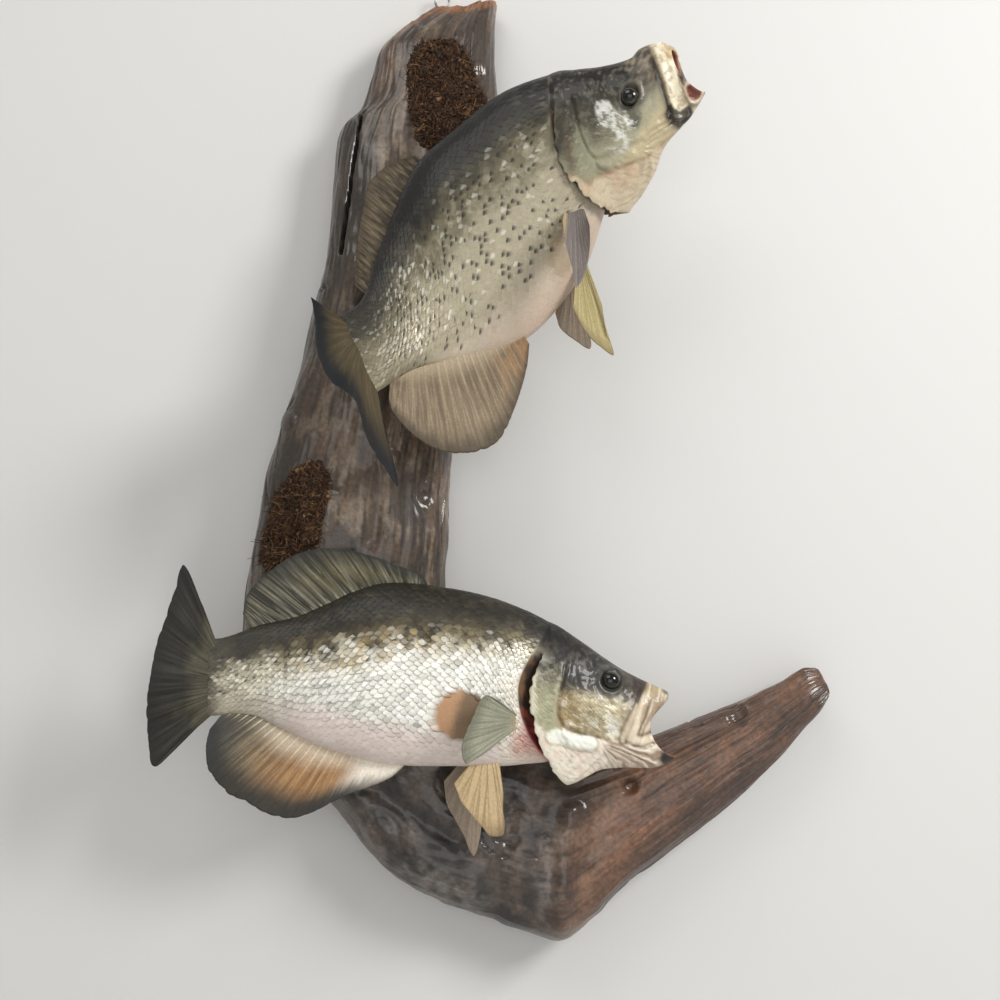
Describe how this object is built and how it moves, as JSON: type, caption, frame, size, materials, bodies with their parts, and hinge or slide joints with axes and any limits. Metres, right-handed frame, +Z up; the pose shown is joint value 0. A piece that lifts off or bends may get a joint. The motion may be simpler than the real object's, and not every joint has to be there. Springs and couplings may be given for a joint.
{
  "type": "mounted trophy fish",
  "caption": "Mounted white crappie and its driftwood wall mount: one fish level and one climbing, on a hooked weathered branch with dry moss and a wire hanging loop.",
  "frame": {"origin": "a point of the driftwood's flat back, where it lies on the wall, a little above the middle of the mount", "axes": "+Z up along the driftwood's trunk, +Y out of its flat back into the wall, +X the way the lower fish faces"},
  "size_m": [0.489, 0.1801, 0.7449],
  "materials": {
    "skin_flank": "glossy varnished scales",
    "skin_stem": "glossy varnished scales",
    "skin_head": "glossy varnished skin",
    "skin_gill": "glossy varnished skin",
    "skin_jaw": "glossy varnished skin",
    "fin_dark": "satin varnished membrane",
    "fin_amber": "satin varnished membrane",
    "fin_pale": "satin varnished membrane",
    "glass_eye": "polished",
    "skin_second": "glossy varnished scales and skin",
    "driftwood": "varnished weathered wood",
    "moss": "rough dry moss",
    "hanger_wire": "plain steel wire"
  },
  "bodies": {
    "root": {"trunk": "skin_flank", "tail_stem": "skin_stem", "head": "skin_head", "gill_cover_right": "skin_gill", "gill_cover_left": "skin_gill", "upper_jaw": "skin_jaw", "lower_jaw": "skin_jaw", "tail_fin": "fin_dark", "dorsal_fin": "fin_dark", "anal_fin": "fin_amber", "pectoral_fin_right": "fin_pale", "pectoral_fin_left": "fin_pale", "pelvic_fin_right": "fin_pale", "pelvic_fin_left": "fin_pale", "eye_right": "glass_eye", "eye_left": "glass_eye", "second_fish": "skin_second", "driftwood": "driftwood", "moss_top": "moss", "moss_side": "moss", "hanger_loop": "hanger_wire"}
  },
  "joints": []
}
